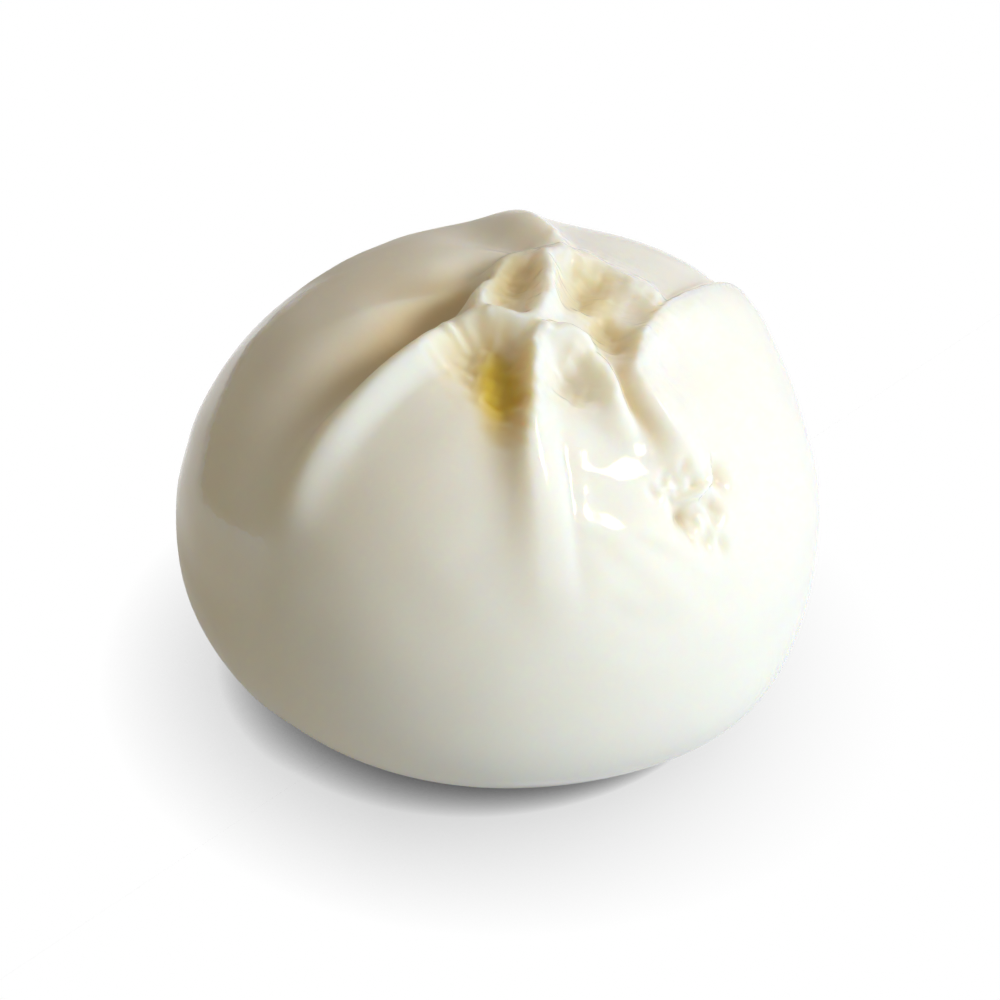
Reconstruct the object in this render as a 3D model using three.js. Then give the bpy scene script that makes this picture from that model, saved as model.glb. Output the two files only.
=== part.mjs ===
// A burrata: a pouch of stretched curd, gathered at the top and pinched shut.
// Millimetres, +Z up. The flat sole rests on Z = 0 and the front faces -Y.
// The gathered skin stands in folds round small open hollows, a little to the
// right of the middle, and the folds run out over the plump body.
import * as THREE from 'three';

// Body: two half superellipsoids that meet at the belly line
const HALF_WIDTH = 43.8;
const HALF_DEPTH = 42;
const BELLY_HEIGHT = 24.4;
const CROWN_HEIGHT = 67;
const SUNK = 4.5;            // how far the lower half would reach below the table
const CROWN_POWER = 2.15;
const SOLE_POWER = 2.36;
const SOLE_SOFTNESS = 1;     // height over which the body rounds into the sole

// Plump parts of the body: azimuth, elevation, spread (degrees), rise (mm)
const SWELLS = [
  [32, 34, 30, 3.2],
  [0, 0, 28, 2.4],
  [180, 0, 30, 1.9],
  [-32, -34, 28, 3.3],
];

// Where the skin is gathered, the low mound that it makes there, and the wet,
// wavy place in front of it
const GATHER = [9.5, -6.5];
const MOUND = { x: 9, y: -7, radius: 12, rise: 1.2 };
const WET = [17, -26];

// Folds stand out of the body along a line laid on it. Each row is a place on
// the line: x, y, height, then the fold's width on the left and on the right
// of somebody walking down the rows.
const FOLDS = {
  leftFold: [
    [1.2, -11.4, 3.2, 2.4, 2], [-3.2, -12, 4.2, 2.6, 2.4], [-7.4, -14.4, 4.4, 2.6, 2.6],
    [-11.8, -16.8, 4.2, 2.7, 2.8], [-16.2, -19.2, 3.8, 2.9, 3], [-20.8, -21.6, 3.1, 3, 3.2],
    [-24.8, -24.4, 1.8, 3.2, 3.4], [-27.8, -27.2, 0, 3.6, 4],
  ],
  frontFold: [
    [5.6, -13.5, 3.2, 2.6, 2], [5, -17.3, 3.4, 2.8, 2], [4.4, -21, 3.7, 3, 2],
    [4.2, -24.6, 3.6, 3, 2.6], [4.7, -28.6, 3.1, 3.4, 3.4], [5.5, -32.8, 2.3, 3.8, 4.2],
    [6.6, -37.4, 1.1, 4.6, 5], [7.6, -41, 0, 5, 6],
  ],
  rightFold: [
    [20.1, -6.5, 2.6, 4, 2.2], [17.8, -12.8, 2.8, 4, 2.2], [17.8, -16.2, 2.8, 4.5, 2.4],
    [20.6, -19.2, 2.8, 4.5, 3], [24.2, -21.6, 2.3, 3.5, 3], [27.6, -22.6, 0.8, 2, 2],
  ],
  backFold: [
    [8.6, 2.4, 2.4, 2.8, 2.4], [7.2, 6.6, 3, 3.2, 2.6], [4.6, 11.8, 3.3, 4.2, 3.4],
    [2.6, 18, 2.2, 5, 5], [1.5, 26, 0, 6, 6],
  ],
  overlap: [
    [20.1, -6.5, 2.4, 1.1, 4], [22.6, -2.4, 2.5, 1, 6], [26.4, 3.4, 2.3, 1.2, 8],
    [31.2, 12, 1.6, 1.7, 9], [36.5, 19.5, 0, 2.4, 9],
  ],
  leftRim: [
    [4.6, -12, 3, 1.8, 1.8], [1.2, -11.8, 3, 1.8, 1.8], [-1.6, -9.8, 3.1, 2.3, 1.8],
    [-1.2, -5.8, 2.7, 2.5, 1.8], [0.4, -1.2, 2.4, 3, 1.8], [2.6, 1.6, 2.4, 3, 1.8],
    [6.4, 2.2, 2.3, 3, 1.8],
  ],
  backRim: [
    [6.4, 2.2, 2.3, 3, 1.8], [10.4, 3, 2.2, 3.4, 1.8], [13.4, 0.2, 2.1, 4, 1.8],
    [17.4, -1.2, 2.2, 4.4, 1.8], [20.6, -5, 2.5, 3.5, 1.8],
  ],
  middleWall: [
    [6.2, 1.8, 2.3, 1.8, 2.2], [6.9, -3.7, 3, 1.8, 2.4], [6.2, -8.4, 3.2, 1.8, 2.4],
    [5, -12, 3.2, 1.8, 2.2],
  ],
  flap: [
    [5.2, -13.2, 3.2, 2, 2], [8.4, -13.4, 3.2, 1.9, 2], [11, -13.8, 3, 1.8, 2],
  ],
  frontLip: [
    [9.6, -14.8, 2.8, 1.4, 1.8], [12.6, -15.8, 2.4, 1.4, 1.8], [14.2, -17.6, 2.1, 1.8, 1.8],
    [15.6, -20.6, 1.7, 2, 2], [18.6, -24, 0, 2.2, 2.2],
  ],
  pinch: [
    [27.4, -20.4, 0.9, 0.9, 0.9], [27.4, -23, 1.8, 0.8, 0.8], [25.4, -25.4, 1.7, 0.8, 0.8],
    [23.6, -26.8, 0.5, 0.9, 0.9],
  ],
  rearLeftFold: [
    [-12, 25, 0, 4, 3], [-15, 30, 1, 4.5, 3], [-18, 34, 0.9, 5, 3.5], [-20, 37.2, 0, 6, 4],
  ],
  rearRightFold: [
    [15, 26, 0, 3, 4], [17, 31, 1, 3, 4.5], [19.5, 34.5, 0.8, 3.5, 5], [20.5, 37, 0, 4, 6],
  ],
};

// Valleys between the folds, in the same rows with depth instead of height
const VALLEYS = {
  leftValley: [
    [-0.8, -1, 1.4, 2.4, 2.8], [-4.1, -2.6, 4.4, 2.4, 4.6], [-7.8, -5.6, 5.2, 2.8, 5.4],
    [-11.8, -9.2, 4.5, 3.2, 5.6], [-17, -12.8, 3.2, 3.8, 6], [-23, -16.4, 2, 5, 7],
    [-31, -18.8, 0, 7, 8],
  ],
  rearLeftValley: [
    [1, 4, 0.6, 2, 2.4], [-3.5, 2.4, 2.2, 3, 3], [-8.8, 0.8, 2.4, 3.6, 3.6],
    [-14.5, 1.8, 1.8, 4.6, 4.6], [-21, 4.6, 1.1, 6, 6], [-29, 6, 0, 8, 8],
  ],
  backValley: [
    [7, 5.2, 0.6, 2, 2], [2.4, 7.6, 1.4, 2, 3], [-2.6, 12, 1, 3, 4], [-8, 17, 0, 4, 5],
  ],
  frontValley: [
    [0.8, -25.6, 0.7, 2.6, 2.6], [2.2, -29, 0.4, 2.6, 3], [3.4, -33, 0, 2.8, 3],
  ],
  cleft: [
    [-4.4, -15, 0.5, 1.4, 1.4], [-9.4, -18.2, 1.2, 1.5, 1.3], [-14.4, -21.2, 1, 1.6, 1.4],
    [-19.8, -24.6, 0, 1.6, 1.4],
  ],
  crease: [
    [15.4, -14.8, 0.4, 0.8, 0.8], [16, -17.4, 0.7, 0.8, 0.8], [17.4, -19.8, 0.8, 0.8, 0.8],
    [19.8, -22, 0.4, 1.1, 1], [22.4, -25.4, 0, 1.6, 1.4],
  ],
  frontCrease: [
    [8.2, -24, 0, 1.2, 0.8], [8.8, -27.4, 0.35, 1.2, 0.8], [9.6, -31.4, 0.4, 1.2, 0.8],
    [10.6, -35.4, 0.3, 1.4, 0.9], [11.6, -38.6, 0, 1.6, 1.2],
  ],
};

// Open hollows of the closure: centre, half sizes, turn in degrees, level of
// the floor's edge, extra depth at the centre, softness and waviness of the edge
const HOLLOWS = [
  { at: [2.8, -3.4], half: [2.7, 5.2], turn: -6, floor: 0.3, bowl: 0.9, soft: 0.6, seed: 1 },
  { at: [12.2, -3.4], half: [3.6, 4.8], turn: 6, floor: 0, bowl: 0.9, soft: 0.6, seed: 0.4 },
  { at: [16.2, -5.2], half: [3, 3.4], turn: 0, floor: 0.9, bowl: 0.5, soft: 0.8, seed: 0.4 },
  { at: [14.4, -10.2], half: [2.1, 3.8], turn: 8, floor: 0, bowl: 0.8, soft: 0.7, seed: 2 },
  { at: [-1.3, -16.8], half: [3.8, 4.6], turn: 20, floor: -0.2, bowl: 1.4, soft: 0.8, seed: 3 },
  { at: [0.6, -19.8], half: [3, 5.8], turn: 5, floor: -0.7, bowl: 1.9, soft: 0.8, seed: 3 },
  { at: [10.1, -18.6], half: [2.6, 3.2], turn: 0, floor: -0.4, bowl: 1.4, soft: 0.9, seed: 1.5 },
];

// Small dents of the pinched spot: centre, half length and half width, turn,
// depth. Smaller dents lie round it on a sunflower spiral
const DENTS = [
  { at: [29.2, -21.2], half: [1.8, 1.3], turn: 40, depth: 1.6 },
  { at: [24.6, -27.7], half: [1.7, 1.1], turn: 30, depth: 1.4 },
  { at: [28.6, -24.2], half: [0.9, 1.3], turn: -30, depth: 0.9 },
  { at: [20.6, -27.3], half: [0.9, 0.7], turn: 0, depth: 0.6 },
];
const PINCH = [26, -24.4];
const GOLDEN_ANGLE = 2.4;
for (let j = 0; j < 18; j++) {
  const angle = GOLDEN_ANGLE * j;
  const radius = 1.5 * Math.sqrt(j + 0.5);
  const at = [PINCH[0] + 1.1 * radius * Math.cos(angle), PINCH[1] + 0.8 * radius * Math.sin(angle)];
  DENTS.push({ at, half: [1, 0.7], turn: 57 * j, depth: 0.8 });
}

const BEAD_GAP = 0.45;       // distance between the beads that stand for a fold's line
const BLEND = 4;             // how sharply folds that meet stay apart
const UNEVENNESS = 0.05;     // of the outlines of hollows and dents

// Rings of the mesh, as polar angles in degrees, and facets in each ring
const SEGMENTS = 144;
const RINGS = [
  ...steps(0, 24, 20),
  ...steps(24, 64, 9),
  ...steps(64, 90, 3),
  ...steps(90, 150, 8),
];

function steps(from, to, count) {
  return Array.from({ length: count }, (_, i) => from + (to - from) * (i + 1) / count);
}

function smoothstep(x) {
  return THREE.MathUtils.smoothstep(x, 0, 1);
}

function direction(azimuth, elevation) {
  return new THREE.Vector3().setFromSphericalCoords(1, Math.PI / 2 - elevation, azimuth + Math.PI / 2)
    .applyAxisAngle(new THREE.Vector3(1, 0, 0), Math.PI / 2);
}

// The smooth body at (u, v) of the unit disc, seen from above or from below
function dome(u, v, isUpper) {
  const power = isUpper ? CROWN_POWER : SOLE_POWER;
  const height = isUpper ? CROWN_HEIGHT - BELLY_HEIGHT : -(BELLY_HEIGHT + SUNK);
  const square = Math.max(u * u + v * v, 1e-9);
  const level = Math.max(1 - square ** (power / 2), 0) ** (1 / power);
  const gain = square ** (power / 2 - 1);
  const normal = new THREE.Vector3(
    u / HALF_WIDTH * gain, v / HALF_DEPTH * gain, level ** (power - 1) / height).normalize();
  let rise = 0;
  for (const [azimuth, elevation, spread, most] of SWELLS) {
    const [a, e, s] = [azimuth, elevation, spread].map(THREE.MathUtils.degToRad);
    rise += most * Math.exp((normal.dot(direction(a, e)) - 1) / (1 - Math.cos(s)));
  }
  const point = new THREE.Vector3(HALF_WIDTH * u, HALF_DEPTH * v, BELLY_HEIGHT + height * level);
  return { point: point.addScaledVector(normal, rise), normal };
}

function onCrown([x, y]) {
  return dome(x / HALF_WIDTH, y / HALF_DEPTH, true);
}

// A few crossed waves of about the given length, between -1 and 1
function ripple(point, length, seed) {
  let sum = 0;
  for (let j = 0; j < 5; j++) {
    const a = 1.7 * seed + 2.399 * j;
    const b = 0.9 * seed + 1.234 * j;
    const wave = new THREE.Vector3(Math.cos(a) * Math.cos(b), Math.sin(a) * Math.cos(b), Math.sin(b))
      .multiplyScalar((0.7 + 0.22 * j) * 2 * Math.PI / length);
    const cross = new THREE.Vector3(wave.y, wave.z, wave.x).multiplyScalar(0.6);
    sum += Math.sin(wave.dot(point) + 3.1 * seed + 1.9 * j + 1.3 * Math.sin(cross.dot(point) + j));
  }
  return sum / 3.2;
}

// The row at t, where t counts the rows, by Catmull-Rom interpolation
function rowAt(rows, t) {
  const i = Math.min(Math.floor(t), rows.length - 2);
  const w = t - i;
  return rows[i].map((b, k) => {
    const c = rows[i + 1][k];
    const a = i > 0 ? rows[i - 1][k] : 2 * b - c;
    const d = i + 2 < rows.length ? rows[i + 2][k] : 2 * c - b;
    return b + w * ((c - a) / 2
      + w * (a - 2.5 * b + 2 * c - 0.5 * d + w * (1.5 * (b - c) + 0.5 * (d - a))));
  });
}

// Beads close together on the line through the rows, laid on the crown
function beadsAlong(rows) {
  const legs = rows.slice(1).map((row, i) => Math.hypot(row[0] - rows[i][0], row[1] - rows[i][1]));
  const count = 1 + Math.floor(legs.reduce((sum, leg) => sum + leg, 0) / BEAD_GAP);
  const beads = Array.from({ length: count + 1 }, (_, i) => {
    const [x, y, height, left, right] = rowAt(rows, i / count * (rows.length - 1));
    return { ...onCrown([x, y]), height: Math.max(height, 0), left, right };
  });
  return beads.map((bead, i) => {
    const [before, after] = [Math.max(i - 1, 0), Math.min(i + 1, count)];
    const step = beads[after].point.clone().sub(beads[before].point).divideScalar(after - before);
    const rightward = step.cross(bead.normal);
    return { ...bead, gap: rightward.length(), rightward: rightward.clone().normalize() };
  });
}

// Bells swept along lines of beads: the fourth root of the sum over all beads
// of (height * exp(-(distance / width)^2))^4 * gap / width, so that a long line
// has the height of its rows, and lines that meet run into each other. The
// width turns from the left one to the right one round a line's ends.
function swept(point, beads) {
  let sum = 0;
  for (const bead of beads) {
    const offset = point.clone().sub(bead.point);
    const square = offset.lengthSq();
    const side = offset.dot(bead.rightward) / Math.sqrt(Math.max(square, 1e-6));
    const width = THREE.MathUtils.lerp(bead.left, bead.right, smoothstep(0.5 + 0.5 * side));
    const share = bead.gap * Math.sqrt(BLEND / Math.PI) / width;
    sum += share * bead.height ** BLEND * Math.exp(-BLEND * square / width ** 2);
  }
  return sum ** (1 / BLEND);
}

// Distance from the centre of an uneven oval, where 1 is its edge
function ovalDistance(point, { centre, half, turn, seed }) {
  const offset = point.clone().sub(centre);
  const depth = offset.z / (3 * Math.max(...half));
  offset.applyAxisAngle(new THREE.Vector3(0, 0, 1), -THREE.MathUtils.degToRad(turn));
  const x = offset.x / half[0];
  const y = offset.y / half[1];
  const angle = Math.atan2(y, x);
  const wobble = Math.sin(2 * angle + seed) + 0.6 * Math.sin(3 * angle + 2.1 * seed + 1);
  return Math.hypot(x, y, depth) / (1 + UNEVENNESS * wobble);
}

const folds = Object.values(FOLDS).flatMap(beadsAlong);
const valleys = Object.values(VALLEYS).flatMap(beadsAlong);
const hollows = HOLLOWS.map((hollow) => ({ ...hollow, centre: onCrown(hollow.at).point }));
const dents = DENTS.map((dent) => ({ ...dent, centre: onCrown(dent.at).point, seed: dent.at[0] }));

// Height of the skin over the smooth body: the folds less the valleys, then
// each hollow's floor by its mask, the dents and ripples
function relief(point, normal) {
  const nearGather = smoothstep(1.6 - Math.hypot(point.x - GATHER[0], point.y - GATHER[1]) / 14);
  const wet = smoothstep(1.5 - Math.hypot(point.x - WET[0], point.y - WET[1]) / 12);
  const fromMound = Math.hypot(point.x - MOUND.x, point.y - MOUND.y) / MOUND.radius;
  let height = swept(point, folds);
  height *= 1 + nearGather * (0.1 * ripple(point, 5, 5) + 0.05 * ripple(point, 2.2, 7));
  height += MOUND.rise * Math.exp(-(fromMound ** 2));
  height -= swept(point, valleys);
  for (const hollow of hollows) {
    const distance = ovalDistance(point, hollow) + 0.1 * ripple(point, 3.2, hollow.seed + 4);
    const inside = smoothstep((1 + hollow.soft - distance) / (2 * hollow.soft));
    const floor = hollow.floor - hollow.bowl * (1 - Math.min(distance, 1) ** 2)
      + 0.15 * ripple(point, 2.6, hollow.seed);
    height = THREE.MathUtils.lerp(height, floor, inside);
  }
  for (const dent of dents) {
    height -= dent.depth * Math.exp(-(ovalDistance(point, dent) ** 2));
  }
  height += 0.12 * ripple(point, 16, 1) + 0.17 * wet * ripple(point, 9, 70);
  height += nearGather * (0.16 * ripple(point, 5, 2) + 0.08 * ripple(point, 2, 3));
  return height * smoothstep(normal.z / 0.2);
}

// Presses everything below the table flat, with a soft edge
function pressed(z) {
  if (z < -SOLE_SOFTNESS) return 0;
  if (z > SOLE_SOFTNESS) return z;
  return (z + SOLE_SOFTNESS) ** 2 / (4 * SOLE_SOFTNESS);
}

// One point of the skin. The crown's rings close in on the gathered place
function skin(polar, azimuth) {
  const isUpper = polar <= Math.PI / 2 + 1e-9;
  const radius = Math.sin(polar) ** (2 / (isUpper ? CROWN_POWER : SOLE_POWER));
  const shift = isUpper ? 1 - radius * radius : 0;
  const u = radius * Math.cos(azimuth) + shift * GATHER[0] / HALF_WIDTH;
  const v = radius * Math.sin(azimuth) + shift * GATHER[1] / HALF_DEPTH;
  const { point, normal } = dome(u, v, isUpper);
  point.addScaledVector(normal, relief(point, normal));
  point.z = pressed(point.z);
  return point;
}

function burrataGeometry() {
  const points = [skin(0, 0)];
  for (const degrees of RINGS) {
    for (let k = 0; k < SEGMENTS; k++) {
      points.push(skin(THREE.MathUtils.degToRad(degrees), 2 * Math.PI * k / SEGMENTS));
    }
  }
  points.push(new THREE.Vector3(0, 0, 0));
  const last = points.length - 1;
  const vertex = (ring, k) => 1 + ring * SEGMENTS + k % SEGMENTS;
  const faces = [];
  for (let k = 0; k < SEGMENTS; k++) {
    faces.push(0, vertex(0, k), vertex(0, k + 1));
    for (let ring = 0; ring < RINGS.length - 1; ring++) {
      const [a, b] = [vertex(ring, k), vertex(ring, k + 1)];
      const [c, d] = [vertex(ring + 1, k + 1), vertex(ring + 1, k)];
      faces.push(a, d, c, a, c, b);
    }
    faces.push(vertex(RINGS.length - 1, k), last, vertex(RINGS.length - 1, k + 1));
  }
  const geometry = new THREE.BufferGeometry().setFromPoints(points);
  geometry.setIndex(faces);
  geometry.computeVertexNormals();
  return geometry;
}

const curd = new THREE.MeshStandardMaterial({ color: 0xf4f0e3, roughness: 0.3, metalness: 0 });
const burrata = new THREE.Mesh(burrataGeometry(), curd);
burrata.name = 'burrata';

const part = new THREE.Group();
part.add(burrata);

export default part;
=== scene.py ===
"""A burrata on a white counter, in soft daylight from the right.

Metres, +Z up, the front faces -Y. The sizes of the cheese are given in
millimetres, as a maker would, and turned into metres when its mesh is made.
"""
import math

import bpy
import numpy as np
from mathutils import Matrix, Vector


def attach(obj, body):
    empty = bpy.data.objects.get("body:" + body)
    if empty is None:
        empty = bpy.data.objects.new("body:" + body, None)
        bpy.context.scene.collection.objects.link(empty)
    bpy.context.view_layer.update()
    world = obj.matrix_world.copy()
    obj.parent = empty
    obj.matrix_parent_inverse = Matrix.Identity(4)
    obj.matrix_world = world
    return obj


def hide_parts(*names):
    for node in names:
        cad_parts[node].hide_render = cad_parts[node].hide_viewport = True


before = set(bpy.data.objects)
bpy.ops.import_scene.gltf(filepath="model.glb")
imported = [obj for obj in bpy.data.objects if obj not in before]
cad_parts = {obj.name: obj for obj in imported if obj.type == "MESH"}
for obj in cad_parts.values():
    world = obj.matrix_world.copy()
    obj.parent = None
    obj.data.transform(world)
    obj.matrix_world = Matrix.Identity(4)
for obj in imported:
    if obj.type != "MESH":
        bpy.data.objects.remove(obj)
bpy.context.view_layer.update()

# ---------------------------------------------------------------- the burrata
# A pouch of hot curd, stretched thin by hand, filled with cream and shreds of curd, then gathered
# at the top and pinched shut. It is one piece: it sags flat where it rests, and its gathered skin
# stands in folds round small open hollows, a little to the right of the middle.

HALF_WIDTH, HALF_DEPTH = 43.8, 42.0
BELLY_HEIGHT, CROWN_HEIGHT = 24.4, 67.0
SUNK = 4.5                      # how far the lower half would reach below the table
CROWN_POWER, SOLE_POWER = 2.15, 2.36
SOLE_SOFTNESS = 1.0             # height over which the edge of the sole turns flat

# Plump parts of the body: azimuth, elevation, spread (degrees), rise (mm)
SWELLS = [(32, 34, 30, 3.2), (0, 0, 28, 2.4), (180, 0, 30, 1.9), (-32, -34, 28, 3.3)]

# The gathered place, where the skin crumples, and the wet one in front of it,
# each with the distances from which this starts and at which it is full
GATHER, NEAR_GATHER = (9.5, -6.5), (22.4, 8.4)
WET, NEAR_WET = (17.0, -26.0), (18.0, 6.0)
MOUND = {"at": (9.0, -7.0), "radius": 12.0, "rise": 1.2}

# Rows of x, y, height, then the fold's width on the left and on the right of
# somebody walking down the rows
FOLDS = {
    "left fold": [
        (1.2, -11.4, 3.2, 2.4, 2.0), (-3.2, -12.0, 4.2, 2.6, 2.4), (-7.4, -14.4, 4.4, 2.6, 2.6),
        (-11.8, -16.8, 4.2, 2.7, 2.8), (-16.2, -19.2, 3.8, 2.9, 3.0), (-20.8, -21.6, 3.1, 3.0, 3.2),
        (-24.8, -24.4, 1.8, 3.2, 3.4), (-27.8, -27.2, 0.0, 3.6, 4.0)],
    "front fold": [
        (5.4, -13.5, 3.2, 2.6, 2.0), (4.4, -17.3, 3.4, 2.6, 2.2), (3.8, -21.0, 3.5, 2.8, 2.4),
        (4.0, -24.6, 3.2, 3.2, 2.6), (4.7, -28.6, 2.6, 4.2, 3.0), (5.5, -32.8, 1.7, 5.4, 3.6),
        (6.6, -37.4, 0.6, 7.0, 4.4), (7.6, -41.0, 0.0, 7.0, 6.0)],
    "right fold": [
        (20.1, -6.5, 2.6, 4.0, 2.2), (17.8, -12.8, 2.8, 4.0, 2.2), (17.8, -16.2, 2.8, 4.5, 2.4),
        (20.6, -19.2, 2.8, 4.5, 3.0), (24.2, -21.6, 2.3, 3.5, 3.0), (27.6, -22.6, 0.8, 2.0, 2.0)],
    "back fold": [
        (8.6, 2.4, 2.4, 2.8, 2.4), (7.2, 6.6, 3.0, 3.2, 2.6), (4.6, 11.8, 3.3, 4.2, 3.4),
        (2.6, 18.0, 2.2, 5.0, 5.0), (1.5, 26.0, 0.0, 6.0, 6.0)],
    "overlap": [
        (20.1, -6.5, 2.4, 1.1, 4.0), (22.6, -2.4, 2.5, 1.0, 6.0), (26.4, 3.4, 2.3, 1.2, 8.0),
        (31.2, 12.0, 1.6, 1.7, 9.0), (36.5, 19.5, 0.0, 2.4, 9.0)],
    "left rim": [
        (4.6, -12.0, 3.0, 1.8, 1.8), (1.2, -11.8, 3.0, 1.8, 1.8), (-1.6, -9.8, 3.1, 2.3, 1.8),
        (-1.2, -5.8, 2.7, 2.5, 1.8), (0.4, -1.2, 2.4, 3.0, 1.8), (2.6, 1.6, 2.4, 3.0, 1.8),
        (6.4, 2.2, 2.3, 3.0, 1.8)],
    "back rim": [
        (6.4, 2.2, 2.3, 3.0, 1.8), (10.4, 3.0, 2.2, 3.4, 1.8), (13.4, 0.2, 2.1, 4.0, 1.8),
        (17.4, -1.2, 2.2, 4.4, 1.8), (20.6, -5.0, 2.5, 3.5, 1.8)],
    "middle wall": [
        (6.2, 1.8, 2.3, 1.8, 2.2), (6.9, -3.7, 3.0, 1.8, 2.4), (6.2, -8.4, 3.2, 1.8, 2.4),
        (5.0, -12.0, 3.2, 1.8, 2.2)],
    "flap": [
        (5.2, -13.2, 3.2, 2.0, 2.0), (8.4, -13.4, 3.2, 1.9, 2.0), (11.0, -13.8, 3.0, 1.8, 2.0)],
    "front lip": [
        (9.6, -14.8, 2.8, 1.4, 1.8), (12.6, -15.8, 2.4, 1.4, 1.8), (14.2, -17.6, 2.1, 1.8, 1.8),
        (15.6, -20.6, 1.7, 2.0, 2.0), (18.6, -24.0, 0.0, 2.2, 2.2)],
    "pinch": [
        (27.4, -20.4, 0.9, 0.9, 0.9), (27.4, -23.0, 1.8, 0.8, 0.8), (25.4, -25.4, 1.7, 0.8, 0.8),
        (23.6, -26.8, 0.5, 0.9, 0.9)],
    "rear left fold": [
        (-12.0, 25.0, 0.0, 4.0, 3.0), (-15.0, 30.0, 1.0, 4.5, 3.0), (-18.0, 34.0, 0.9, 5.0, 3.5),
        (-20.0, 37.2, 0.0, 6.0, 4.0)],
    "rear right fold": [
        (15.0, 26.0, 0.0, 3.0, 4.0), (17.0, 31.0, 1.0, 3.0, 4.5), (19.5, 34.5, 0.8, 3.5, 5.0),
        (20.5, 37.0, 0.0, 4.0, 6.0)],
}

# The same rows for valleys, with depth instead of height
VALLEYS = {
    "left valley": [
        (-0.8, -1.0, 1.4, 2.4, 2.8), (-4.1, -2.6, 4.4, 2.4, 4.6), (-7.8, -5.6, 5.2, 2.8, 5.4),
        (-11.8, -9.2, 4.5, 3.2, 5.6), (-17.0, -12.8, 3.2, 3.8, 6.0), (-23.0, -16.4, 2.0, 5.0, 7.0),
        (-31.0, -18.8, 0.0, 7.0, 8.0)],
    "rear left valley": [
        (1.0, 4.0, 0.6, 2.0, 2.4), (-3.5, 2.4, 2.2, 3.0, 3.0), (-8.8, 0.8, 2.4, 3.6, 3.6),
        (-14.5, 1.8, 1.8, 4.6, 4.6), (-21.0, 4.6, 1.1, 6.0, 6.0), (-29.0, 6.0, 0.0, 8.0, 8.0)],
    "back valley": [
        (7.0, 5.2, 0.6, 2.0, 2.0), (2.4, 7.6, 1.4, 2.0, 3.0), (-2.6, 12.0, 1.0, 3.0, 4.0),
        (-8.0, 17.0, 0.0, 4.0, 5.0)],
    "front valley": [
        (-0.4, -24.8, 0.3, 2.6, 2.6), (0.6, -27.6, 0.15, 2.6, 3.0), (1.8, -31.0, 0.0, 2.8, 3.0)],
    "cleft": [
        (-4.4, -15.0, 0.5, 1.4, 1.4), (-9.4, -18.2, 1.2, 1.5, 1.3), (-14.4, -21.2, 1.0, 1.6, 1.4),
        (-19.8, -24.6, 0.0, 1.6, 1.4)],
    "crease": [
        (15.4, -14.8, 0.4, 0.8, 0.8), (16.0, -17.4, 0.7, 0.8, 0.8), (17.4, -19.8, 0.8, 0.8, 0.8),
        (19.8, -22.0, 0.4, 1.1, 1.0), (22.4, -25.4, 0.0, 1.6, 1.4)],
    "front crease": [
        (8.2, -24.0, 0.0, 1.2, 0.8), (8.8, -27.4, 0.35, 1.2, 0.8), (9.6, -31.4, 0.4, 1.2, 0.8),
        (10.6, -35.4, 0.3, 1.4, 0.9), (11.6, -38.6, 0.0, 1.6, 1.2)],
}

# Open hollows: centre, half length and width, turn in degrees, level of the
# floor's edge, extra depth at the centre, softness of the edge, seed of its
# waves, and how strongly the floor is tinted with cream and painted shade
HOLLOWS = [
    dict(at=(2.2, -3.4), half=(2.3, 5.2), turn=-6, floor=0.8, bowl=0.6, soft=0.8, seed=1.0, cream_and_shade=0.6),
    dict(at=(12.4, -3.4), half=(3.4, 4.7), turn=6, floor=0.0, bowl=0.9, soft=0.75, seed=0.4, cream_and_shade=0.5),
    dict(at=(16.2, -5.2), half=(3.0, 3.4), turn=0, floor=0.9, bowl=0.5, soft=0.8, seed=0.4, cream_and_shade=0.1),
    dict(at=(14.4, -10.2), half=(2.1, 3.8), turn=8, floor=0.0, bowl=0.8, soft=0.7, seed=2.0, cream_and_shade=0.5),
    dict(at=(-1.8, -16.8), half=(3.9, 4.6), turn=20, floor=-0.7, bowl=1.3, soft=0.7, seed=3.0, cream_and_shade=0.4),
    dict(at=(0.5, -19.8), half=(2.9, 5.5), turn=5, floor=-0.3, bowl=1.2, soft=0.7, seed=3.0, cream_and_shade=1.0),
    dict(at=(10.1, -18.6), half=(2.6, 3.2), turn=0, floor=-0.4, bowl=1.4, soft=0.9, seed=1.5, cream_and_shade=0.15),
]

# Dents of the pinched spot: centre, half length and width, turn, depth
DENTS = [
    dict(at=(29.2, -21.2), half=(1.8, 1.3), turn=40, depth=1.6),
    dict(at=(24.6, -27.7), half=(1.7, 1.1), turn=30, depth=1.4),
    dict(at=(28.6, -24.2), half=(0.9, 1.3), turn=-30, depth=0.9),
    dict(at=(20.6, -27.3), half=(0.9, 0.7), turn=0, depth=0.6),
]
# Smaller dents lie round the spot on a sunflower spiral, drawn out sideways
PINCH, PINCH_STRETCH = (26.2, -25.8), (1.1, 0.7)
SMALL_DENTS, DENT_SPACING, GOLDEN_ANGLE = 18, 0.95, 2.4
for j in range(SMALL_DENTS):
    angle, radius = GOLDEN_ANGLE * j, DENT_SPACING * math.sqrt(j + 0.5)
    at = (PINCH[0] + PINCH_STRETCH[0] * radius * math.cos(angle),
          PINCH[1] + PINCH_STRETCH[1] * radius * math.sin(angle))
    DENTS.append(dict(at=at, half=(0.9, 0.6), turn=57 * j, depth=0.7))

# Waves of the skin: height, length, seed. Those of the folds and of a hollow's
# rim are shares of the fold's height and of the hollow's half width
FOLD_WAVES = [(0.10, 5, 5), (0.03, 2.2, 7)]
GATHER_WAVES = [(0.16, 5, 2), (0.05, 2, 3)]
SKIN_WAVES = [(0.12, 16, 1)]
WET_WAVES = [(0.22, 9, 70)]
EDGE_WAVES = [(0.35, 3.5, 8)]
RIM_WAVE, FLOOR_WAVE = (0.10, 3.2), (0.15, 2.6)
UNEVENNESS = 0.05               # of the hollows' and dents' ovals
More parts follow.
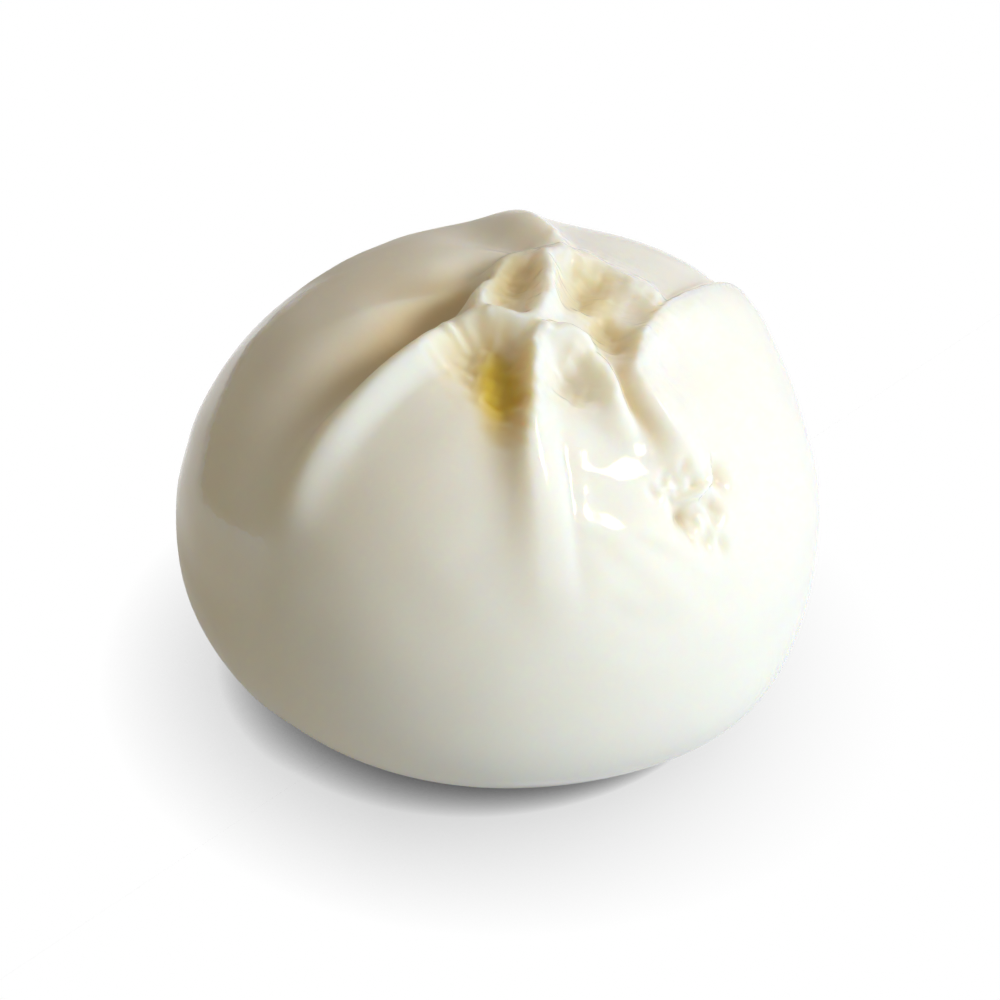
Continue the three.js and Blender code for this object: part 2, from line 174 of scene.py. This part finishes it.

# Cream, with painted shade in the hollows and creases: share for each mm of depth, and how far up
# a hollow's walls it stands, where the edge is 1
CREAM_AND_SHADE_IN_VALLEYS = {"crease": 0.6, "front valley": 0.8}
CREAM_AND_SHADE_IN_DENTS = 0.13
CREAM_AND_SHADE_EDGE = 1.15
WHEY_AND_SHADE_HEIGHTS = (0, -4)                   # heights between which whey gathers, and painted shade with it

# Edge of the last skin that was drawn up round the pouch: azimuth, height
SKIN_EDGE = [
    (150, 62.0), (165, 57.0), (177, 52.0), (187, 48.2), (193, 44.4), (196, 41.0), (200, 39.8),
    (207, 40.3), (213, 41.5), (220, 42.3), (227, 40.2)]
SKIN_STEP, SKIN_STEP_WIDTH = 0.45, 0.7
SKIN_STARTS, SKIN_ENDS = (150, 165), (225, 213)     # azimuths over which it comes and goes
EDGE_KNOWN = (-3, 3)                                # how far from its edge the material knows it
FILM_WET, FILM_SHEEN_HEIGHTS = (26, 38), (35, 44)            # heights over which it turns wet, and over which its painted sheen comes in
WET_SIDE = (-4, 8)                                  # x over which the rest turns wet
CREAM_DRYNESS = 0.8                                 # how much less wet cream is

UPWARD = (0, 0.2)               # z of the normal over which relief comes in
BEAD_GAP = 0.45                 # distance between the beads that stand for a fold's line
BLEND = 4                       # how sharply folds that meet stay apart

# Rings of the mesh, as (last polar angle in degrees, rings), and facets in each
SEGMENTS = 400
CROWN_RINGS = [(22, 90), (64, 90), (90, 25)]
LOWER_RINGS = [(150, 30)]


def dome(u, v, is_upper):
    """The smooth body: two half superellipsoids, |u, v|^n + height^n = 1, that meet at the belly,
    pushed out along their normals by a few round swells. Gives points and normals."""
    power = np.where(is_upper, CROWN_POWER, SOLE_POWER)
    height = np.where(is_upper, CROWN_HEIGHT - BELLY_HEIGHT, -(BELLY_HEIGHT + SUNK))
    square = np.maximum(u * u + v * v, 1e-9)
    level = np.clip(1 - square ** (power / 2), 0, None) ** (1 / power)
    gain = square ** (power / 2 - 1)
    normals = np.stack([u / HALF_WIDTH * gain, v / HALF_DEPTH * gain, level ** (power - 1) / height], -1)
    normals /= np.linalg.norm(normals, axis=-1, keepdims=True)
    points = np.stack([HALF_WIDTH * u, HALF_DEPTH * v, BELLY_HEIGHT + height * level], -1)
    for azimuth, elevation, spread, rise in SWELLS:
        a, e = math.radians(azimuth), math.radians(elevation)
        towards = np.array([math.cos(a) * math.cos(e), math.sin(a) * math.cos(e), math.sin(e)])
        swell = rise * np.exp((normals @ towards - 1) / (1 - math.cos(math.radians(spread))))
        points = points + normals * swell[..., None]
    return points, normals


def on_crown(places):
    """Lifts x, y places onto the smooth crown. Gives points and normals."""
    x, y = np.array(places, float).T
    return dome(x / HALF_WIDTH, y / HALF_DEPTH, True)


def rising(x, start, end):
    """0 before the start, 1 past the end and 3t^2 - 2t^3 between them."""
    t = np.clip((x - start) / (end - start), 0, 1)
    return t * t * (3 - 2 * t)


def distance_on_plan(points, place):
    """Distance from an x, y place, seen from above."""
    return np.hypot(points[:, 0] - place[0], points[:, 1] - place[1])


def ripple(points, length, seed):
    """Five crossed sine waves of about the given length, each bent by a slower one. The odd numbers
    only keep them out of step."""
    total = 0
    for j in range(5):
        a, b = 1.7 * seed + 2.399 * j, 0.9 * seed + 1.234 * j
        wave = np.array([math.cos(a) * math.cos(b), math.sin(a) * math.cos(b), math.sin(b)])
        wave *= (0.7 + 0.22 * j) * 2 * math.pi / length
        bend = 1.3 * np.sin(points @ (wave[[1, 2, 0]] * 0.6) + j)
        total = total + np.sin(points @ wave + 3.1 * seed + 1.9 * j + bend)
    return total / 3.2


def waves(points, sizes):
    """The sum of ripples with the given heights, lengths and seeds."""
    return sum(height * ripple(points, length, seed) for height, length, seed in sizes)


def beads_along(rows):
    """Beads close together on a Catmull-Rom line through the rows, laid on the crown. Gives their
    places, the way to their right times the gap to the next, heights and both widths."""
    rows = np.array(rows)
    reach = np.hypot(*np.diff(rows[:, :2], axis=0).T).sum()
    t = np.linspace(0, len(rows) - 1, 2 + int(reach / BEAD_GAP))
    span = np.minimum(t.astype(int), len(rows) - 2)
    w = (t - span)[:, None]
    knots = np.vstack([2 * rows[0] - rows[1], rows, 2 * rows[-1] - rows[-2]])
    a, b, c, d = (knots[span + k] for k in range(4))
    bow = a - 2.5 * b + 2 * c - 0.5 * d
    beads = b + w * ((c - a) / 2 + w * (bow + w * (1.5 * (b - c) + 0.5 * (d - a))))
    places, normals = on_crown(beads[:, :2])
    return places, np.cross(np.gradient(places, axis=0), normals), beads[:, 2:].clip(0)


def swept(points, lines):
    """Bells swept along the lines: the fourth root of the sum over all beads of
    (height * exp(-(distance / width)^2))^4 * gap / width, so that a long line has the height of its
    rows and lines that meet run into each other. The width turns from the left one to the right one
    round a line's ends."""
    total = np.zeros(len(points))
    for rows in lines:
        places, rightward, sizes = beads_along(rows)
        gap = np.linalg.norm(rightward, axis=1)
        near = np.flatnonzero(((points - places.mean(0)) ** 2).sum(1)
                              < (np.ptp(places, axis=0).max() + 3 * sizes.max()) ** 2)
        at = points[near]
        square = (at ** 2).sum(1)[:, None] - 2 * at @ places.T + (places ** 2).sum(1)
        side = (at @ rightward.T - (places * rightward).sum(1)) / np.sqrt(square.clip(1e-6)) / gap
        width = sizes[:, 1] + (sizes[:, 2] - sizes[:, 1]) * rising(side, -1, 1)
        share = gap * math.sqrt(BLEND / math.pi) / width
        total[near] += (share * sizes[:, 0] ** BLEND * np.exp(-BLEND * square / width ** 2)).sum(1)
    return total ** (1 / BLEND)


def oval_distance(points, at, half, turn, seed):
    """Distance from the centre of an oval whose edge is at 1 and wobbles with the angle. Height
    counts a third of what the oval's longer half does, which keeps it to its own side."""
    offset = points - on_crown([at])[0][0]
    turn = math.radians(turn)
    x = (offset[:, 0] * math.cos(turn) + offset[:, 1] * math.sin(turn)) / half[0]
    y = (offset[:, 1] * math.cos(turn) - offset[:, 0] * math.sin(turn)) / half[1]
    angle = np.arctan2(y, x)
    wobble = np.sin(2 * angle + seed) + 0.6 * np.sin(3 * angle + 2.1 * seed + 1)
    return np.sqrt(x ** 2 + y ** 2 + (offset[:, 2] / (3 * max(half))) ** 2) / (1 + UNEVENNESS * wobble)


def last_skin(points):
    """How far below the last skin's edge each point lies, and the share of that skin, from 0 to 1, at
    its azimuth. The edge's height is interpolated between its azimuths, plus waves."""
    azimuth = np.degrees(np.arctan2(points[:, 1], points[:, 0])) % 360
    edge = np.interp(azimuth, *zip(*SKIN_EDGE)) + waves(points, EDGE_WAVES)
    return edge - points[:, 2], rising(azimuth, *SKIN_STARTS) * rising(azimuth, *SKIN_ENDS)


def relief(points, normals):
    """Height of the skin over the smooth body: the folds less the valleys, then each hollow's floor
    by its mask, less the dents, with the waves and the last skin. Gives the height, and the looks
    that go with it, which also carry painted shade in low and creamy places and a painted sheen
    on the last skin."""
    near_gather = rising(distance_on_plan(points, GATHER), *NEAR_GATHER)
    near_wet = rising(distance_on_plan(points, WET), *NEAR_WET)
    height = swept(points, FOLDS.values()) * (1 + near_gather * waves(points, FOLD_WAVES))
    height += MOUND["rise"] * np.exp(-(distance_on_plan(points, MOUND["at"]) / MOUND["radius"]) ** 2)
    height -= swept(points, VALLEYS.values())
    # The cream mask is partly cream and partly painted shade of the creases, hollows and dents
    cream_and_shade_share = sum(share * swept(points, [VALLEYS[name]]) for name, share in CREAM_AND_SHADE_IN_VALLEYS.items())
    for h in HOLLOWS:
        distance = oval_distance(points, h["at"], h["half"], h["turn"], h["seed"])
        distance = distance + waves(points, [(*RIM_WAVE, h["seed"] + 4)])
        floor = h["floor"] - h["bowl"] * (1 - np.minimum(distance, 1) ** 2)
        floor = floor + waves(points, [(*FLOOR_WAVE, h["seed"])])
        height += (floor - height) * rising(distance, 1 + h["soft"], 1 - h["soft"])
        creamy_and_shaded = rising(distance, CREAM_AND_SHADE_EDGE + h["soft"], CREAM_AND_SHADE_EDGE - h["soft"])
        cream_and_shade_share = np.maximum(cream_and_shade_share, creamy_and_shaded * h["cream_and_shade"])
    for d in DENTS:
        distance = oval_distance(points, d["at"], d["half"], d["turn"], d["at"][0])
        depth = d["depth"] * np.exp(-distance ** 2)
        height -= depth
        cream_and_shade_share = np.maximum(cream_and_shade_share, CREAM_AND_SHADE_IN_DENTS * depth)
    height += waves(points, SKIN_WAVES) + near_wet * waves(points, WET_WAVES)
    height += near_gather * waves(points, GATHER_WAVES)
    upward = rising(normals[:, 2], *UPWARD)
    height, cream_and_shade_share = height * upward, cream_and_shade_share * upward
    below_edge, share = last_skin(points)
    film = share * rising(below_edge, -SKIN_STEP_WIDTH / 2, SKIN_STEP_WIDTH / 2)
    wetness = np.maximum(film * rising(points[:, 2], *FILM_WET), rising(points[:, 0], *WET_SIDE))
    # Of the looks, the whey and cream masks also paint shade, and film paints a pale sheen on the last
    # skin
    return height + SKIN_STEP * film, {
        "cream_and_shade": cream_and_shade_share,
        "low_whey_and_shade": rising(height, *WHEY_AND_SHADE_HEIGHTS),
        "wet": wetness * (1 - CREAM_DRYNESS * cream_and_shade_share.clip(0, 1)),
        "below_edge": below_edge.clip(*EDGE_KNOWN),
        "film": share * rising(points[:, 2], *FILM_SHEEN_HEIGHTS)}


def polar_angles(start, zones):
    """Evenly spaced angles through each zone, after the start."""
    angles = [start]
    for end, count in zones:
        angles += list(np.linspace(angles[-1], end, count + 1)[1:])
    return np.radians(angles)


def burrata_surface():
    """The skin on a grid of polar angle and azimuth. On the crown the rings close in on the gathered
    place: (u, v) = r (cos a, sin a) + (1 - r^2) * gather. What would lie below the table is pressed
    flat with a soft edge. Gives points as rings x facets x 3, and the looks of each."""
    polar = np.concatenate([polar_angles(0, CROWN_RINGS), polar_angles(90, LOWER_RINGS)[1:]])
    azimuth = np.linspace(0, 2 * math.pi, SEGMENTS, endpoint=False)
    is_upper = polar <= math.pi / 2 + 1e-9
    radius = np.sin(polar) ** (2 / np.where(is_upper, CROWN_POWER, SOLE_POWER))
    shift = np.where(is_upper, 1 - radius ** 2, 0)
    u = radius[:, None] * np.cos(azimuth) + shift[:, None] * GATHER[0] / HALF_WIDTH
    v = radius[:, None] * np.sin(azimuth) + shift[:, None] * GATHER[1] / HALF_DEPTH
    points, normals = dome(u, v, np.broadcast_to(is_upper[:, None], u.shape))
    flat_points, flat_normals = points.reshape(-1, 3), normals.reshape(-1, 3)
    height, looks = relief(flat_points, flat_normals)
    skin = flat_points + flat_normals * height[:, None]
    z, soft = skin[:, 2], SOLE_SOFTNESS
    skin[:, 2] = np.where(z < -soft, 0, np.where(z > soft, z, (z + soft) ** 2 / (4 * soft)))
    return skin.reshape(points.shape), {key: look.reshape(u.shape) for key, look in looks.items()}


def closed_rings(name, rings, bottom, attributes):
    """A mesh of stacked rings: the first ring is drawn together into a pole, and a fan closes the
    last ring at the bottom point. Attributes are arrays with one value for each point of the rings."""
    count, around = rings.shape[:2]
    points = np.vstack([rings[0, :1], rings[1:].reshape(-1, 3), [bottom]]) / 1000
    k = np.arange(around)
    after = (k + 1) % around
    ring = 1 + around * np.arange(count - 2)[:, None]
    sides = np.stack([ring + k, ring + around + k, ring + around + after, ring + after], -1)
    last = 1 + around * (count - 2)
    top = np.stack([np.zeros_like(k), 1 + k, 1 + after], -1)
    base = np.stack([last + k, np.full_like(k, len(points) - 1), last + after], -1)
    mesh = bpy.data.meshes.new(name)
    mesh.from_pydata(points.tolist(), [], top.tolist() + sides.reshape(-1, 4).tolist() + base.tolist())
    mesh.polygons.foreach_set("use_smooth", np.ones(len(mesh.polygons), bool))
    for key, values in attributes.items():
        flat = np.concatenate([values[0, :1], values[1:].ravel(), values[-1, :1]])
        mesh.attributes.new(key, "FLOAT", "POINT").data.foreach_set("value", flat.astype(np.float32))
    mesh.update()
    piece = bpy.data.objects.new(name, mesh)
    bpy.context.scene.collection.objects.link(piece)
    return piece


class Value:
    """A number or colour in a node tree. Sums, differences and products add Math nodes."""

    def __init__(self, nodes, socket):
        self.nodes = nodes
        self.socket = socket

    def math(self, operation, *others):
        inputs = dict(enumerate((self, *others)))
        return self.nodes.add("ShaderNodeMath", {"operation": operation}, inputs)

    def __add__(self, other):
        return self.math("ADD", other)

    def __sub__(self, other):
        return self.math("SUBTRACT", other)

    def __rsub__(self, other):
        return self.math("MULTIPLY_ADD", -1, other)

    def __mul__(self, other):
        return self.math("MULTIPLY", other)

    __radd__ = __add__
    __rmul__ = __mul__

    def clamped(self):
        return self.math("MAXIMUM", 0).math("MINIMUM", 1)


class Nodes:
    """The node tree of a material or a world."""

    def __init__(self, owner):
        owner.use_nodes = True
        self.tree = owner.node_tree

    def add(self, kind, settings, inputs, output=0):
        """Adds a node: its settings first, then the values or links of its sockets."""
        node = self.tree.nodes.new(kind)
        for key, value in settings.items():
            setattr(node, key, value)
        self.feed(node, inputs)
        return Value(self, node.outputs[output])

    def feed(self, node, inputs):
        for key, value in inputs.items():
            if isinstance(value, Value):
                self.tree.links.new(value.socket, node.inputs[key])
            else:
                node.inputs[key].default_value = value

    def feed_first(self, kind, inputs):
        """Feeds the node of that type which the tree came with."""
        self.feed(next(node for node in self.tree.nodes if node.bl_idname == kind), inputs)

    def place(self):
        return self.add("ShaderNodeTexCoord", {}, {}, "Object")

    def noise(self, scale, detail, stretch=(1, 1, 1)):
        """Even noise, drawn out along an axis whose stretch is below 1."""
        inputs = {0: self.place(), 1: stretch}
        place = self.add("ShaderNodeVectorMath", {"operation": "MULTIPLY"}, inputs, "Vector")
        return self.add("ShaderNodeTexNoise", {}, {"Vector": place, "Scale": scale, "Detail": detail})

    def attribute(self, key):
        return self.add("ShaderNodeAttribute", {"attribute_name": key}, {}, "Fac")

    def mix(self, share, first, second):
        """Mixes two colours by a share from 0 to 1."""
        return self.add("ShaderNodeMix", {"data_type": "RGBA"}, {0: share, 6: first, 7: second}, 2)

    def bump(self, height, distance, strength):
        inputs = {"Height": height, "Distance": distance, "Strength": strength}
        return self.add("ShaderNodeBump", {}, inputs)

    def seen(self):
        """1 for what is looked at, straight or in a reflection, and 0 for what only lights."""
        return (self.add("ShaderNodeLightPath", {}, {}, "Is Camera Ray")
                + self.add("ShaderNodeLightPath", {}, {}, "Is Glossy Ray"))


rings, looks = burrata_surface()
burrata = closed_rings("burrata_skin", rings, (0, 0, 0), looks)

CURD, MOTTLE = (0.90, 0.88, 0.82, 1), (0.87, 0.84, 0.76, 1)
CREAM_AND_SHADE, WHEY_AND_SHADE, FILM_SHEEN = (0.70, 0.51, 0.07, 1), (0.74, 0.62, 0.38, 1), (0.95, 0.97, 0.99, 1)
ROUGHNESS, GRAIN_ROUGHNESS = 0.50, 0.10
WET_COAT, DRY_COAT = 1.0, 0.2
FIBRE_HEIGHT, FILM_HEIGHT = 3, 6        # times the height of the grain
BUMP_SIZE, BUMP_STRENGTH = 0.00003, 0.5

# Moist curd: a soft body that light passes into, under a thin wet coat. Its
# grain is fine, its fibres run upwards, and the last skin, painted pale and cool
# as a sheen, ends in a ragged edge
moist_curd = bpy.data.materials.new("moist_curd")
curd = Nodes(moist_curd)
cream_and_shade = curd.attribute("cream_and_shade")
patches = curd.noise(60, 3)
colour = curd.mix((patches * 0.25).clamped(), CURD, MOTTLE)
# Whey in the low places, which is also painted shade there: the lower the skin, the darker and yellower
colour = curd.mix((curd.attribute("low_whey_and_shade") * 0.9).clamped(), colour, WHEY_AND_SHADE)
# Cream in the hollows and creases, which is also painted shade there: deep gold, darker than the curd
colour = curd.mix(cream_and_shade, colour, CREAM_AND_SHADE)
fine = curd.noise(900, 3)
# The last skin is painted pale and cool, a painted sheen of its wet film, with a ragged edge
film = (curd.attribute("below_edge") * 4 + fine * 2 - 1).clamped() * curd.attribute("film")
colour = curd.mix(film, colour, FILM_SHEEN)
fibres = curd.noise(420, 2, (1, 1, 0.08))
curd.feed_first("ShaderNodeBsdfPrincipled", {
    "Base Color": colour,
    "Roughness": fine * GRAIN_ROUGHNESS + ROUGHNESS,
    "Specular IOR Level": 0.1,
    "Coat Weight": curd.attribute("wet") * (WET_COAT - DRY_COAT) + DRY_COAT,
    "Coat IOR": 1.33,
    "Coat Roughness": 0.05,
    "Subsurface Weight": 1.0,
    "Subsurface Radius": (1.0, 0.72, 0.40),
    "Subsurface Scale": 0.005,
    "Normal": curd.bump(
        fine + fibres * FIBRE_HEIGHT + film * FILM_HEIGHT, BUMP_SIZE, BUMP_STRENGTH),
})
burrata.data.materials.append(moist_curd)
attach(burrata, "root")
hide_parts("burrata")

# ------------------------------------------------------------------ the floor
# A seamless white counter top, larger than the view. Where it is seen it glows white, and it
# shows only shadows painted into that glow: the dark line where the cheese stands on it and,
# away from the light, a wide faint shade.

CONTACT_REACH, LEAST_REACH, SHADE_REACH = 0.0043, 0.001, 0.021      # metres
CONTACT_LEAN = 0.08             # how much further the contact reaches for each metre to the left
SHADE = 0.55
SHADE_END, SHADE_WIDTH = 0.075, 0.090           # where the shade ends on the light's side
SHADE_RAYS = {"samples": 8}

top = bpy.data.meshes.new("counter")
top.from_pydata([(-9, -9, 0), (9, -9, 0), (9, 9, 0), (-9, 9, 0)], [], [(0, 1, 2, 3)])
counter = bpy.data.objects.new("counter", top)
bpy.context.scene.collection.objects.link(counter)
white_counter = bpy.data.materials.new("white_counter")
white = Nodes(white_counter)
across = white.add("ShaderNodeSeparateXYZ", {}, {"Vector": white.place()}, "X")
# Painted contact shadow: the glow darkens where little open space is near, reaching further on the left
reach = (CONTACT_REACH - across * CONTACT_LEAN).math("MAXIMUM", LEAST_REACH)
painted_contact_shadow = white.add("ShaderNodeAmbientOcclusion", SHADE_RAYS, {"Distance": reach}, "AO")
open_sky = white.add("ShaderNodeAmbientOcclusion", SHADE_RAYS, {"Distance": SHADE_REACH}, "AO")
# Painted wide shade, fading out towards the light's side
painted_wide_shade = (1 - open_sky) * ((SHADE_END - across) * (1 / SHADE_WIDTH)).clamped() * SHADE
glow = white.add("ShaderNodeEmission", {}, {"Color": painted_contact_shadow * (1 - painted_wide_shade)})
matt = white.add("ShaderNodeBsdfDiffuse", {}, {"Color": (0.6, 0.6, 0.6, 1)})
white.feed_first("ShaderNodeOutputMaterial", {
    "Surface": white.add("ShaderNodeMixShader", {}, {0: white.seen(), 1: matt, 2: glow})})
top.materials.append(white_counter)

# ------------------------------------------------------- daylight and the view
# Soft daylight from the right, a small bright window high in front, and a
# warm, dim room.

MIDDLE = Vector((0.00066, 0, 0.02885))


def aim(thing, azimuth, elevation, distance):
    """Stands a light or camera at a bearing from the cheese, looking at it."""
    a, e = math.radians(azimuth), math.radians(elevation)
    towards = Vector((math.cos(a) * math.cos(e), math.sin(a) * math.cos(e), math.sin(e)))
    thing.location = MIDDLE + towards * distance
    thing.rotation_euler = towards.to_track_quat("Z", "Y").to_euler()
    bpy.context.scene.collection.objects.link(thing)


def soft_light(name, azimuth, elevation, distance, size, power, colour, is_reflected=False):
    """Hangs a square lamp, which shows in the wet coat only if it is reflected."""
    lamp = bpy.data.lights.new(name, "AREA")
    lamp.size = size
    lamp.energy = power
    lamp.color = colour
    stand = bpy.data.objects.new(name, lamp)
    stand.visible_glossy = is_reflected
    aim(stand, azimuth, elevation, distance)


soft_light("daylight", azimuth=-31, elevation=16, distance=0.9, size=1.00, power=8.6,
           colour=(0.46, 0.71, 1.0))
soft_light("window", azimuth=-27, elevation=38, distance=0.9, size=0.18, power=3.6,
           colour=(1.0, 0.83, 0.58), is_reflected=True)
soft_light("ceiling", azimuth=30, elevation=80, distance=0.9, size=0.90, power=1.2,
           colour=(0.5, 0.6, 1.0))

ROOM_GLOW, ROOM_STRENGTH = (1.0, 0.80, 0.38, 1), 0.27
WHITE = (1, 1, 1, 1)

room = bpy.data.worlds.new("room")
air = Nodes(room)
seen = air.seen()
air.feed_first("ShaderNodeBackground", {
    "Color": air.mix(seen, ROOM_GLOW, WHITE),
    "Strength": seen * (1 - ROOM_STRENGTH) + ROOM_STRENGTH,
})
bpy.context.scene.world = room
bpy.context.scene.view_settings.view_transform = "Standard"

lens = bpy.data.cameras.new("camera")
lens.sensor_width = 36
lens.lens = 82.26
camera = bpy.data.objects.new("camera", lens)
aim(camera, azimuth=-90, elevation=38, distance=0.330)
bpy.context.scene.camera = camera
